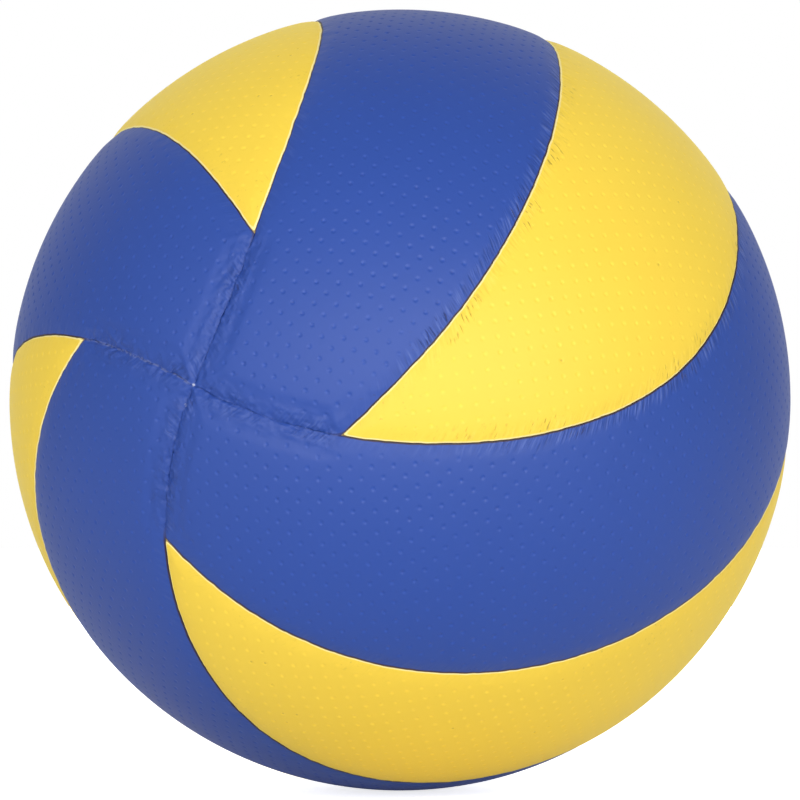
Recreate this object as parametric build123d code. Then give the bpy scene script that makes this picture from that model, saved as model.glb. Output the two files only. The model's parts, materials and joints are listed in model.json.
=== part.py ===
from build123d import *
import math
import os

# Indoor volleyball with eight swirled cover panels, in millimetres and degrees.
# The origin is the ball's centre. The four blue panels meet at a pole on -Y (the front), the four
# yellow ones at a pole on +Y, +Z is up, and the valve faces -X.
# Colatitude is counted from the blue pole, longitude from +X towards +Z.

# Overall size and the layers of the wall, from the outside in
ball_diameter = 210.0
skin_thickness = 1.2
foam_thickness = 2.6
carcass_thickness = 1.2
winding_thickness = 0.6
bladder_thickness = 0.8
glue_line = 0.15

# Seams: the gap between two panels, the rolled edge beside it and the skin's turned-down hem
seam_gap = 0.3
roll_width = 2.4
roll_depth = 1.0
hem_thickness = 1.2

# Course of the main seams, which run from pole to pole, four of them a quarter turn apart:
# a steady drift in longitude plus a quick swing near the equator
first_seam_longitude = 19.65
seam_drift = 31.85
seam_swing = 14.5
swing_span = 23.5

# Course of the diagonal seams: each leaves one main seam near one pole and ends on the next main
# seam near the other, with these slopes at its middle and its ends
tip_colatitude = 21.8
diagonal_slope_middle = 1.262
diagonal_slope_end = 0.232

# Valve: a plug in a rubber housing, which is bonded to a patch inside the bladder
valve_recess = 0.6
neck_radius = 4.2
neck_clearance = 0.2
patch_radius = 20.0
patch_thickness = 0.7
flange_radius = 13.0
flange_thickness = 1.4
boss_radius = 5.2
boss_floor = 1.5
plug_head_radius = 3.0
plug_head_thickness = 1.4
plug_shank_radius = 2.0
plug_tip_radius = 1.8
plug_length = 17.0
plug_clearance = 0.1
needle_hole_radius = 1.1
needle_hole_depth = 9.0
slit_width = 0.3
slit_span = 2.0

# Panels of one colour, and the turn from one to the next
panels_per_colour = 4
quarter_turn = 360 / panels_per_colour
valve_panel = 2

# How cuts are sampled and how far they run past what they cut
stations = 33
overrun = 3.0
seam_overrun = 5.0

ball_radius = ball_diameter / 2
skin_inner = ball_radius - skin_thickness
foam_outer = skin_inner - glue_line
foam_inner = foam_outer - foam_thickness
carcass_outer = foam_inner - glue_line
carcass_inner = carcass_outer - carcass_thickness
winding_outer = carcass_inner - glue_line
winding_inner = winding_outer - winding_thickness
bladder_outer = winding_inner - glue_line
bladder_inner = bladder_outer - bladder_thickness
patch_outer = bladder_inner - glue_line
patch_inner = patch_outer - patch_thickness
flange_outer = patch_inner - glue_line
flange_inner = flange_outer - flange_thickness
neck_top = ball_radius - valve_recess
plug_bottom = neck_top - plug_length
boss_bottom = plug_bottom - boss_floor

centre = Vector(0, 0, 0)
pole_axis = Axis((0, 0, 0), (0, -1, 0))


def direction(colatitude, longitude):
    """Unit vector from the ball's centre."""
    polar = math.radians(colatitude)
    turn = math.radians(longitude)
    return Vector(math.sin(polar) * math.cos(turn), -math.cos(polar), math.sin(polar) * math.sin(turn))


def main_seam_longitude(colatitude):
    """How far a main seam lies from where it crosses the equator."""
    above = colatitude - 90
    return seam_drift * above / 90 + seam_swing * math.tanh(above / swing_span)


def main_seam(number, colatitude):
    return direction(colatitude, first_seam_longitude + number * quarter_turn + main_seam_longitude(colatitude))


diagonal_reach = 90 - tip_colatitude
diagonal_half = quarter_turn / 2 - main_seam_longitude(tip_colatitude)


def diagonal_seam(number, along):
    """Point on a diagonal seam; along runs from -1 at the tip near the blue pole to 1 at the other."""
    middle = diagonal_slope_middle * diagonal_half
    end = diagonal_slope_end * diagonal_half
    fifth = (end + 2 * middle - 3 * diagonal_reach) / 2
    third = diagonal_reach - middle - fifth
    rise = middle * along + third * along**3 + fifth * along**5
    longitude = first_seam_longitude + (number + 0.5) * quarter_turn + diagonal_half * along
    return direction(90 + rise, longitude)


def seam_wall(course, start, end, profile):
    """Solid along a seam; profile lists (distance to one side of the seam, radius), from the top down."""
    step = (end - start) / (stations - 1)
    sections = []
    for station in range(stations):
        at = start + station * step
        up = course(at)
        ahead = (course(at + step / 100) - course(at - step / 100)).normalized()
        side = up.cross(ahead).normalized()
        right = [up * radius + side * distance for distance, radius in profile]
        left = [up * radius - side * distance for distance, radius in profile]
        sections.append(Wire.make_polygon(right + left[::-1], close=True))
    return Solid.make_loft(sections)


def panel_walls(profile):
    """The three seam walls round the first blue panel."""
    past_pole = math.degrees(seam_overrun / ball_radius)
    past_tip = 1 + past_pole / (diagonal_half * math.sin(math.radians(tip_colatitude)))
    low = seam_wall(lambda at: main_seam(0, at), -past_pole, 180 + past_pole, profile)
    high = seam_wall(lambda at: main_seam(1, at), -past_pole, 180 + past_pole, profile)
    across = seam_wall(lambda at: diagonal_seam(0, at), -past_tip, past_tip, profile)
    return [low, high, across]


panel_middle = direction(90, first_seam_longitude + 0.75 * quarter_turn)
ball_plane = Plane(origin=centre, x_dir=-panel_middle, z_dir=panel_middle.cross(Vector(0, 1, 0)))


def shell(outer, inner):
    """Hollow ball, turned so that the joins of its round faces lie away from the first blue panel."""
    return Solid.make_sphere(outer, ball_plane) - Solid.make_sphere(inner, ball_plane)


def cut_panel(outer, inner, profile):
    """The piece of a hollow ball that lies within the seams of the first blue panel."""
    kept = shell(outer, inner)
    inside = Vertex(*(panel_middle * (outer + inner) / 2))
    for wall in panel_walls(profile):
        pieces = (kept - wall).solids()
        kept = min(pieces, key=lambda piece: piece.distance_to(inside))
    return kept


def straight_profile(distance, outer, inner):
    return [(distance, outer + overrun), (distance, inner - overrun)]


def rolled_profile(outer, inner):
    """Narrow gap below, and above it two flats that stand for the rolled edge of the skin."""
    gap = seam_gap / 2
    shoulder = gap + 0.4 * roll_width
    shoulder_drop = 0.35 * roll_depth
    rim = gap + roll_width
    past = overrun / shoulder_drop
    return [
        (rim + (rim - shoulder) * past, outer + overrun),
        (shoulder, outer - shoulder_drop),
        (gap, outer - roll_depth),
        (gap, inner - overrun),
    ]


def valve_cylinder(radius, outer, inner):
    """Round bar on the valve's axis, between two distances from the ball's centre."""
    return Solid.make_cylinder(radius, outer - inner, Plane(origin=(-inner, 0, 0), z_dir=(-1, 0, 0)))


def valve_hole(clearance):
    return valve_cylinder(neck_radius + clearance, ball_radius + overrun, bladder_inner - overrun)


# One panel: the skin is a lid with a turned-down hem, and the foam pad fills it
hem_side = seam_gap / 2 + hem_thickness
block = cut_panel(ball_radius, foam_inner, rolled_profile(ball_radius, foam_inner))
hollow = cut_panel(skin_inner, foam_inner - overrun, straight_profile(hem_side, skin_inner, foam_inner - overrun))
pad = cut_panel(foam_outer, foam_inner, straight_profile(hem_side + glue_line, foam_outer, foam_inner))
skin = (block - hollow).solid()

nodes = {}
for number in range(panels_per_colour):
    turn = number * quarter_turn
    swap_direction = direction(90, first_seam_longitude + (number + 0.5) * quarter_turn)
    swap_axis = Axis((0, 0, 0), tuple(swap_direction))
    for name, piece in (("panel", skin), ("panel_foam", pad)):
        blue = piece.rotate(pole_axis, turn)
        nodes[f"yellow_{name}_{number + 1}"] = blue.rotate(swap_axis, 180)
        if number + 1 == valve_panel:
            blue = (blue - valve_hole(neck_clearance)).solid()
        nodes[f"blue_{name}_{number + 1}"] = blue

# Inner layers, each with its hole for the valve's neck
nodes["carcass"] = shell(carcass_outer, carcass_inner) - valve_hole(neck_clearance)
nodes["thread_winding"] = shell(winding_outer, winding_inner) - valve_hole(neck_clearance)
nodes["bladder"] = shell(bladder_outer, bladder_inner) - valve_hole(neck_clearance)

# Valve patch and housing: round pieces on the valve's axis, curved to the inside of the bladder
patch_disc = valve_cylinder(patch_radius, patch_outer + overrun, 0)
nodes["valve_patch"] = shell(patch_outer, patch_inner) & patch_disc
nodes["valve_patch"] -= valve_hole(neck_clearance)
flange_disc = valve_cylinder(flange_radius, flange_outer + overrun, 0)
housing = shell(flange_outer, flange_inner) & flange_disc
housing += valve_cylinder(boss_radius, flange_outer - flange_thickness / 2, boss_bottom)
housing += valve_cylinder(neck_radius, neck_top, flange_inner)
head_seat = neck_top - plug_head_thickness
housing -= valve_cylinder(plug_head_radius + plug_clearance, ball_radius, head_seat - plug_clearance)
housing -= valve_cylinder(plug_shank_radius + plug_clearance, neck_top, boss_bottom - overrun)
nodes["valve_housing"] = housing

# Valve plug: head, tapered shank, needle hole and the slit that closes it below
shank = Solid.make_cone(
    plug_shank_radius,
    plug_tip_radius,
    head_seat - plug_bottom,
    Plane(origin=(-head_seat, 0, 0), z_dir=(1, 0, 0)),
)
plug = shank + valve_cylinder(plug_head_radius, neck_top, head_seat)
plug -= valve_cylinder(needle_hole_radius, neck_top, neck_top - needle_hole_depth)
slit_length = plug_length - needle_hole_depth
slit = Solid.make_box(slit_length, slit_width, slit_span)
slit = slit.move(Location((-plug_bottom - slit_length, -slit_width / 2, -slit_span / 2)))
nodes["valve_plug"] = plug - slit

os.makedirs("parts", exist_ok=True)
for name, piece in nodes.items():
    export_step(piece, os.path.join("parts", f"{name}.step"))
    print(name, round(piece.volume), "mm3")
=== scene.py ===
# %% [markdown]
# # Dressing a volleyball
#
# The ball has eight cover panels of soft synthetic leather, four blue and four yellow, which swirl
# from pole to pole. Each one is glued over a foam pad, and its edges roll down into narrow seams.
# Under them lie a rubber carcass, a thread winding and a bladder with its valve.
# The frame loaded here holds those pieces as plain solids in their real places. This lesson gives
# them their looks: the camera first, then the finish of the leather, the light, the panels, the foam
# pads, the valve and the winding.

# %% Load the frame
import json
import math

import bmesh
import bpy
import numpy as np
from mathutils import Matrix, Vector
from mathutils.geometry import delaunay_2d_cdt


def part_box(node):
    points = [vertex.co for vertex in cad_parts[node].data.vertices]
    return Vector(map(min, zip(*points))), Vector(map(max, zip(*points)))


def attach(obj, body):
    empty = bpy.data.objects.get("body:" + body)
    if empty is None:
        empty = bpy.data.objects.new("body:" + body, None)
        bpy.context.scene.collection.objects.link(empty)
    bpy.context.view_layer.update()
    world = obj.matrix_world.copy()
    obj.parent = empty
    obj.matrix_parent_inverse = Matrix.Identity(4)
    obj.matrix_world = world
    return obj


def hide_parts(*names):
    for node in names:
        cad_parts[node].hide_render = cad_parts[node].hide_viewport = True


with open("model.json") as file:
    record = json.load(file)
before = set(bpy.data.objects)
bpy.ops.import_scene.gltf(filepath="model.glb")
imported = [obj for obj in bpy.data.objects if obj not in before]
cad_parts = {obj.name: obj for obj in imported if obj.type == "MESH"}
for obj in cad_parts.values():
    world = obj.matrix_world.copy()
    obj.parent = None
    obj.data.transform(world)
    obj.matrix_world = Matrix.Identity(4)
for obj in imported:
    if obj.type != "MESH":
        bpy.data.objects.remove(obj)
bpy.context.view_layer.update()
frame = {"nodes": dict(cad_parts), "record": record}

print("CAD nodes:", len(frame["nodes"]))

# %% [markdown]
# ## Sizes that the frame gives
#
# The pattern of the panels is worked out in millimetres, as a maker would draw it, and turned into
# metres when a mesh is made. The layers of the wall are measured from the solids, so that every new
# piece fits the space that its solid holds.

# %% Measure the layers
MM = 0.001


def layer(node):
    """Least and greatest distance of a solid's corners from the ball's centre, in millimetres."""
    corners = np.array([vertex.co for vertex in frame["nodes"][node].data.vertices])
    distances = np.linalg.norm(corners, axis=1) / MM
    return distances.min(), distances.max()


mounts = {mount["name"]: mount for mount in frame["record"]["mounts"]}
ball_radius = -mounts["floor_contact"]["pos_m"][2] / MM
foam_inner, foam_outer = layer("blue_panel_foam_1")
winding_inner, winding_outer = layer("thread_winding")
glue_line = 0.15
skin_inner = foam_outer + glue_line
hem_bottom = foam_inner

print(f"ball radius {ball_radius:.1f} mm, foam {foam_inner:.2f} to {foam_outer:.2f} mm")

# %% [markdown]
# ## Camera
#
# A long lens, a short step away, gives the ball the outline that it has in the photograph. The camera
# looks straight at the ball's centre from slightly below it. Azimuth is counted round the ball from
# the front, where the blue panels meet, and the same function places the lamps later.

# %% Set the camera
camera_azimuth = 28.56
camera_elevation = -2.28
camera_distance = 795.0
lens_length = 131.9
sensor_width = 36.0


def place_round(azimuth, elevation, distance):
    """A place round the ball, in metres, for angles in degrees and a distance in millimetres."""
    turn = math.radians(azimuth)
    rise = math.radians(elevation)
    level = math.cos(rise)
    away = Vector((math.sin(turn) * level, -math.cos(turn) * level, math.sin(rise)))
    return away * distance * MM


def aim_at_ball(thing, azimuth, elevation, distance):
    """Puts a camera or a lamp round the ball and turns it to the ball's centre."""
    thing.location = place_round(azimuth, elevation, distance)
    thing.rotation_euler = (-thing.location).to_track_quat("-Z", "Y").to_euler()
    bpy.context.scene.collection.objects.link(thing)


camera_data = bpy.data.cameras.new("camera")
camera_data.lens = lens_length
camera_data.sensor_width = sensor_width
camera = bpy.data.objects.new("camera", camera_data)
aim_at_ball(camera, camera_azimuth, camera_elevation, camera_distance)
bpy.context.scene.camera = camera
bpy.context.scene.view_settings.view_transform = "Standard"

print("camera at", [round(x, 3) for x in camera.location])

# %% [markdown]
# ## Node trees as sums
#
# Finishes and shapes are both drawn with nodes here. To keep them readable, a socket is wrapped in a
# small class, so that `1 - mask` or `depth * mask` adds the Math node that does it. Every other node
# comes from one method, which sets the node's options first and then feeds its sockets. Short methods
# for the nodes that are used most stand beside it.

# %% Sockets in sums
class Socket:
    """An output socket that can stand in Python sums. Each sum adds a Math node to its tree."""

    def __init__(self, graph, link):
        self.graph = graph
        self.link = link

    def math(self, operation, *values):
        return self.graph.node("ShaderNodeMath", {"operation": operation}, dict(enumerate(values)))

    def other(self, output):
        """Another output of the same node."""
        return Socket(self.graph, self.link.node.outputs[output])

    def __add__(self, other):
        return self.math("ADD", self, other)

    def __sub__(self, other):
        return self.math("SUBTRACT", self, other)

    def __rsub__(self, other):
        return self.math("SUBTRACT", other, self)

    def __mul__(self, other):
        return self.math("MULTIPLY", self, other)

    def __truediv__(self, other):
        return self.math("DIVIDE", self, other)

    def __rtruediv__(self, other):
        return self.math("DIVIDE", other, self)

    def __pow__(self, other):
        return self.math("POWER", self, other)

    def __abs__(self):
        return self.math("ABSOLUTE", self)

    __radd__ = __add__
    __rmul__ = __mul__


print("sums that add nodes: + - * / ** and abs")

# %% Nodes of one tree
class Graph:
    """Adds nodes to one tree, for a finish or for a shape."""

    def __init__(self, tree):
        self.tree = tree

    def node(self, kind, settings=None, sockets=None, output=0):
        made = self.tree.nodes.new(kind)
        for name, value in (settings or {}).items():
            setattr(made, name, value)
        for key, value in (sockets or {}).items():
            if isinstance(value, Socket):
                self.tree.links.new(value.link, made.inputs[key])
            else:
                made.inputs[key].default_value = value
        return Socket(self, made.outputs[output]) if made.outputs else None

    def smooth(self, value, start, end):
        """0 before start and 1 after end, with a soft step between. Start may be the greater one."""
        soft_step = {"interpolation_type": "SMOOTHSTEP"}
        return self.node("ShaderNodeMapRange", soft_step, {0: value, 1: start, 2: end})

    def clamp(self, value):
        return self.node("ShaderNodeClamp", None, {0: value})

    def vector(self, operation, first, second=None, output=0):
        sockets = {0: first} if second is None else {0: first, 1: second}
        return self.node("ShaderNodeVectorMath", {"operation": operation}, sockets, output)

    def stretch(self, vector, factor):
        """A vector made longer or shorter."""
        return self.node("ShaderNodeVectorMath", {"operation": "SCALE"}, {0: vector, "Scale": factor})

    def join(self, x, y, z):
        return self.node("ShaderNodeCombineXYZ", None, {0: x, 1: y, 2: z})

    def part(self, vector, axis):
        return self.node("ShaderNodeSeparateXYZ", None, {0: vector}, axis)

    def noise(self, vector, scale=1.0, detail=2.0, roughness=0.5):
        """Noise from 0 to 1."""
        sockets = {"Vector": vector, "Scale": scale, "Detail": detail, "Roughness": roughness}
        return self.node("ShaderNodeTexNoise", None, sockets)

    def wave(self, vector, scale=1.0):
        """Plain noise about zero, -0.5 to 0.5."""
        return self.noise(vector, scale, detail=1.0) - 0.5

    def mix(self, share, first, second):
        """Blend of two colours: the Mix node's colour sockets are 6 and 7, and its colour output is 2."""
        return self.node("ShaderNodeMix", {"data_type": "RGBA"}, {0: share, 6: first, 7: second}, 2)


print("short methods:", [name for name in vars(Graph) if not name.startswith("_")])

# %% [markdown]
# ## Finishes
#
# The cover is synthetic leather: a coloured film on a soft backing. It is half matt, its colour
# drifts a little from place to place, and the yellow one has a soft nap that keeps its rim bright.
# The ball is used: its leather is strained on one side, some of its dots are darker, partly from dirt and
# partly as painted shade, and dried glue shows where the seams meet. Painted pictures could show that, but
# nodes stay sharp at any distance.
# The panels' own attributes tell them where they are: `seam` is the distance to the nearest seam in
# millimetres, `run` the way along it and `clear` is 0 in corners, where two seams are equally near. `dot`
# and `crease` say how far a point is pressed in, `press` how hard its dot was pressed, and `kin` is 1
# near the poles, where panels of one colour meet. A fine grain, too small for the mesh, is a bump.

# %% Colours and materials
def linear_light(part):
    """One part of a screen colour, 0 to 255, as linear light, by the usual rule for screens."""
    share = part / 255
    return ((share + 0.055) / 1.055) ** 2.4 if share > 0.04 else share / 12.92


def screen_colour(red, green, blue):
    """A colour as a screen shows it, turned into the linear light that shaders count in."""
    return (*(linear_light(part) for part in (red, green, blue)), 1.0)


def scaled(colour, factor):
    """A colour made lighter or darker."""
    return (*(factor * part for part in colour[:3]), 1.0)


def make_material(name, fill):
    """A Principled material. fill gets the graph and returns the shader's sockets."""
    material = bpy.data.materials.new(name)
    material.use_nodes = True
    material.node_tree.nodes.clear()
    graph = Graph(material.node_tree)
    shader = graph.node("ShaderNodeBsdfPrincipled", None, fill(graph))
    graph.node("ShaderNodeOutputMaterial", None, {"Surface": shader})
    print(f"{name}: {len(material.node_tree.nodes)} nodes")
    return material


def attribute(graph, name):
    return graph.node("ShaderNodeAttribute", {"attribute_name": name}, None, "Fac")


def object_place(graph):
    return graph.node("ShaderNodeTexCoord", None, None, "Object")


print("a half grey is", round(screen_colour(128, 128, 128)[0], 3), "in linear light")

# %% [markdown]
# ### Creases beside the seams
#
# Where the leather is pulled over the edge of its foam pad it shows fine slanted creases, under a
# millimetre apart and a few millimetres long, and on some stretches a row of short cuts, which the finish
# darkens with painted shade. They are too fine for the mesh, so the finish draws them. Counting the way
# along a seam less for points further from it makes lines that lean over, and noise stretched along them
# makes each one different. All lengths here are in millimetres. A row is a line through the noise, so that
# marks of different kinds don't fall together.

# %% Ways along a seam
lean_range = 1.7
lean_back = 0.25
lean_length = 35.0
lean_row = 2.0
seam_stretches = {
    "cuts": {"length": 20.0, "row": 5.0, "start": 0.48, "end": 0.58},
    "folds": {"length": 15.0, "row": 6.0, "start": 0.42, "end": 0.6},
    "pulls": {"length": 12.0, "row": 7.0, "start": 0.42, "end": 0.6},
    "cracks": {"length": 5.0, "row": 9.0, "start": 0.35, "end": 0.6},
}


def run_noise(graph, run, length, row):
    """Noise from 0 to 1 that changes along a seam."""
    return graph.noise(graph.join(run / length, row, 0.0))


def leaning_run(graph, seam, run):
    """The way along a seam, counted so that lines of equal value lean over as they leave it."""
    lean = lean_range * run_noise(graph, run, lean_length, lean_row) - lean_back
    return run - lean * seam


def stretches(graph, run, kind):
    """1 on some stretches along a seam and 0 on others, for one kind of mark."""
    span = seam_stretches[kind]
    return graph.smooth(run_noise(graph, run, span["length"], span["row"]), span["start"], span["end"])


print("marks that come in stretches:", list(seam_stretches))

# %% Creases
streak_spacing = 0.9
streak_stretch = 7.0
streak_least = 0.5
streak_range = 6.8
streak_change = 1.1
streak_row = 3.0
streak_fade = 0.4
cut_spacing = 0.65
cut_length = 2.6
cut_layer = 11.0
cut_edges = (0.58, 0.72)
cut_rise = 0.6
cut_fade = 0.5


def streaks(graph, seam, run):
    """Fine creases, about -0.3 to 0.3, each fading out at a length of its own."""
    along = leaning_run(graph, seam, run)
    line = graph.wave(graph.join(along / streak_spacing, seam / streak_stretch, 0.0))
    length = streak_least + streak_range * run_noise(graph, along, streak_change, streak_row)
    return line * graph.smooth(seam, length, streak_fade * length)


def cuts(graph, seam, run, start, end):
    """Short cuts between two distances from the seam, which the finish darkens with painted shade."""
    along = leaning_run(graph, seam, run)
    mark = graph.noise(graph.join(along / cut_spacing, seam / cut_length, cut_layer), detail=1.0)
    band = graph.smooth(seam, start, start + cut_rise) * graph.smooth(seam, end, cut_fade * end)
    return graph.smooth(mark, *cut_edges) * band * stretches(graph, run, "cuts")


print(f"creases {streak_spacing} mm apart, up to {streak_least + streak_range:.1f} mm long")

# %% [markdown]
# ### Strain and glue
#
# Creases are strongest on the side of the ball that is strained most, and near the poles they come in
# stretches. Glue has dried in a dotted line along one seam and in small beads where the seams meet.
# Both are placed by directions from the ball's centre, read from Object coordinates, so they stay
# where they are when the camera moves.

# %% Strain and glue
worn_way = (0.8, -0.4, 0.45)
worn_edge = (0.66, 0.84)
slack_pull = 0.15
pole_pull = 0.6
glue_way = (-0.92, 0.0, 0.39)
trail_sector = (0.9, 0.96)
trail_gaps = (0.38, 0.55)
trail_width = (0.45, 0.2)
trail_share = 0.12
glue_beads = ((0.0, 0.0), (-2.4, -4.8))
bead_radius = 0.5 * MM
bead_core = 0.2
bead_gaps = (0.35, 0.55)
bead_share = 0.7


def strain(graph, place, run, kin, clear):
    """How hard the leather is pulled, 0 to 1."""
    facing = graph.vector("DOT_PRODUCT", graph.vector("NORMALIZE", place), worn_way, "Value")
    pulled = slack_pull + (1 - slack_pull) * graph.smooth(facing, *worn_edge)
    gathered = pole_pull * stretches(graph, run, "pulls")
    return (pulled + (gathered - pulled) * kin) * clear


def glue_marks(graph, place, seam, speckle):
    """Dried glue: a dotted line along one seam that leads to the pole, and beads where the seams meet."""
    level = graph.vector("MULTIPLY", place, (1.0, 0.0, 1.0))
    toward = graph.vector("DOT_PRODUCT", graph.vector("NORMALIZE", level), glue_way, "Value")
    trail = graph.smooth(toward, *trail_sector) * graph.smooth(speckle, *trail_gaps)
    marks = trail_share * (trail * graph.smooth(seam, *trail_width))
    for x, z in glue_beads:
        off = graph.vector("DISTANCE", level, (x * MM, 0.0, z * MM), "Value")
        bead = bead_share * graph.smooth(off, bead_radius, bead_core * bead_radius)
        marks = marks + bead * graph.smooth(speckle, *bead_gaps)
    return graph.clamp(marks)


print("beads of glue:", len(glue_beads))

# %% [markdown]
# ### The leather itself
#
# One function makes the finish of both colours. It starts from the plain colour and blends one thing after
# another over it: the drift of the colour, a painted highlight on the pressed dots, a pale rim that is a
# painted highlight along the rolled edge, painted light and painted shade on the two sides of the creases,
# painted shade in creases and cracks, dirt, painted shade in the short cuts, darker floors of some dots
# that are partly dirt and partly painted shade, the dark line deep in a seam, which is a dark joint with
# painted shade and is painted wider low on the ball, and the glue. Grain, creases and cuts also go into the
# bump.

# %% Leather
leather_marks = ("seam", "run", "dot", "crease", "kin", "clear", "press")
drift_size = 45 * MM
drift_levels = (0.95, 1.05)
speckle_size = 0.9 * MM
worn_size = 14 * MM
worn_patches = (0.45, 0.75)
dirt_specks = (0.64, 0.72)
dirt_reach = (14.0, 1.0)
dirty_shaded_dots = (0.63, 0.72)
dirty_shaded_depth = (0.55, 0.95)
dot_highlight = 1.3
dot_highlight_share = 0.3
edge_highlight_width = (0.65, 0.3)
streak_contrast = 2.4
shade_level = 0.45
crack_width = (0.35, 0.1)
crease_share, crack_share = 0.12, 0.22
dirt_share, cut_shade_share = 0.3, 0.45
low_shade_height = -40 * MM
deep_core = 0.5
glue_colour = screen_colour(196, 200, 218)
grain_size, grain_depth = 0.45 * MM, 0.012 * MM
streak_depth = 0.34 * MM
cut_depth = 0.16 * MM
dull, dull_drift, dot_gloss = 0.47, 0.08, 0.06


def leather(colours, edge_highlight_share, streak_share, deep_widths, dot_dirt_and_shade_share, cut_band, nap):
    """Fill for a leather finish: its colours, its pale rim of painted highlight, and how its creases, seams
    and cuts show with painted light and shade.
    """
    colour = colours["film"]

    def fill(graph):
        place = object_place(graph)
        seam, run, dot, crease, kin, clear, press = [attribute(graph, name) for name in leather_marks]
        pull = strain(graph, place, run, kin, clear)
        streak = streaks(graph, seam, run) * pull * streak_share
        cut = cuts(graph, seam, run, *cut_band) * pull
        drift = graph.noise(place, 1 / drift_size, detail=3)
        speckle = graph.noise(place, 1 / speckle_size)
        worn = graph.smooth(graph.noise(place, 1 / worn_size, detail=3), *worn_patches)
        dirt = graph.smooth(speckle, *dirt_specks) * graph.smooth(seam, *dirt_reach) * worn
        dot_dirt_and_shade = graph.smooth(press, *dirty_shaded_dots) * graph.smooth(dot, *dirty_shaded_depth)
        crack = graph.smooth(seam, *crack_width) * kin * stretches(graph, run, "cracks")
        # Dirt specks, painted shade in the short cuts, and the floors of some dots, darkened partly by dirt
        # and partly as painted shade in the recess, all go to the deep colour.
        marks = dirt_share * dirt + cut_shade_share * cut + dot_dirt_and_shade_share * dot_dirt_and_shade
        # The dark line deep in a seam is a dark joint with painted shade in the gap. Low on the ball it is
        # painted wider, as painted shade under the rolled edges.
        low = graph.smooth(graph.part(place, "Z"), 0.0, low_shade_height)
        high_line_width, low_shade_line_width = deep_widths
        width = high_line_width + (low_shade_line_width - high_line_width) * low
        deep = graph.smooth(seam, width, deep_core * width) * (1 - kin)
        glue = glue_marks(graph, place, seam, speckle) * kin

        shade = scaled(colour, shade_level)
        tone = graph.mix(drift, *[scaled(colour, level) for level in drift_levels])
        # Painted highlight: the pressed dots are lightened, as where their walls catch the light.
        tone = graph.mix(dot_highlight_share * dot, tone, scaled(colour, dot_highlight))
        # Painted highlight: a pale rim along the seam, where the rolled edge catches the light.
        tone = graph.mix(graph.smooth(seam, *edge_highlight_width) * edge_highlight_share * (1 - kin), tone, colours["rim"])
        # Painted light and painted shade on the two sides of each crease.
        tone = graph.mix(graph.clamp(streak_contrast * streak), tone, colours["fray"])
        tone = graph.mix(graph.clamp(-streak_contrast * streak), tone, shade)
        tone = graph.mix(graph.clamp(crease_share * crease + crack_share * crack), tone, shade)
        tone = graph.mix(graph.clamp(marks), tone, colours["deep"])
        tone = graph.mix(deep, tone, colours["deep"])
        tone = graph.mix(glue, tone, glue_colour)

        grain = graph.noise(place, 1 / grain_size, detail=3, roughness=0.6)
        height = grain * grain_depth + streak * streak_depth - cut * cut_depth
        bump = graph.node("ShaderNodeBump", None, {"Strength": 1.0, "Distance": 1.0, "Height": height})
        roughness = dull + dull_drift * drift - dot_gloss * dot
        return {"Base Color": tone, "Roughness": roughness, "Normal": bump, **nap}

    return fill


print("the leather reads", len(leather_marks), "attributes")

# %% The two leathers
# In both leathers the rim colour is a painted highlight along the rolled edge, the fray colour is painted
# light on the lit side of a crease, and the deep colour is a dark joint with painted shade, also used for
# dirt.
blue_colours = {
    "film": screen_colour(34, 66, 144),
    "deep": screen_colour(46, 34, 56),
    "rim": screen_colour(50, 75, 150),
    "fray": screen_colour(92, 112, 176),
}
yellow_colours = {
    "film": screen_colour(224, 191, 63),
    "deep": screen_colour(90, 58, 34),
    "rim": screen_colour(240, 226, 164),
    "fray": screen_colour(244, 220, 120),
}
blue_nap = {"Specular IOR Level": 0.37}
yellow_nap = {
    "Specular IOR Level": 0.3,
    "Sheen Weight": 0.22,
    "Sheen Tint": screen_colour(255, 240, 70),
}
blue_look = leather(
    blue_colours,
    edge_highlight_share=0.1,
    streak_share=1.0,
    deep_widths=(0.37, 0.5),
    dot_dirt_and_shade_share=0.15,
    cut_band=(0.1, 4.0),
    nap=blue_nap,
)
yellow_look = leather(
    yellow_colours,
    edge_highlight_share=0.85,
    streak_share=0.35,
    deep_widths=(0.12, 0.33),
    dot_dirt_and_shade_share=0.35,
    cut_band=(0.5, 5.0),
    nap=yellow_nap,
)
leathers = {
    "blue": make_material("blue_leather", blue_look),
    "yellow": make_material("yellow_leather", yellow_look),
}

# %% [markdown]
# ## Floor and light
#
# The ball stands on a plain pale floor in soft light from all round, as in a light tent. The world
# gives the even part of that light. A wide soft box behind the camera gives the broad, dull highlight,
# and a weak one to its left fills in. A large box behind the ball stands for a lit backdrop and pales
# the rim. A small one straight behind it lights the far side, which the camera doesn't see. To the
# camera alone the world and the floor look full white, as on a burnt-out studio backdrop, so that the
# floor has no far edge.

# %% Floor
floor_radius = 6000.0
floor_sides = 96
floor_white = 0.92
floor_roughness = 0.8
floor_glow = 0.75
floor_spill = 0.095


def grey(level):
    return (level, level, level, 1.0)


def camera_ray(graph):
    return graph.node("ShaderNodeLightPath", None, None, "Is Camera Ray")


def floor_fill(graph):
    return {
        "Base Color": grey(floor_white),
        "Roughness": floor_roughness,
        "Emission Color": graph.mix(camera_ray(graph), grey(floor_spill), grey(1.0)),
        "Emission Strength": floor_glow,
    }


turns = [2 * math.pi * side / floor_sides for side in range(floor_sides)]
floor_rim = [(math.cos(turn) * floor_radius, math.sin(turn) * floor_radius) for turn in turns]
floor_corners = [(x * MM, y * MM, -ball_radius * MM) for x, y in floor_rim]
floor_mesh = bpy.data.meshes.new("floor")
floor_mesh.from_pydata(floor_corners, [], [list(range(floor_sides))])
floor_mesh.materials.append(make_material("pale_floor", floor_fill))
floor = bpy.data.objects.new("floor", floor_mesh)
bpy.context.scene.collection.objects.link(floor)

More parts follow.
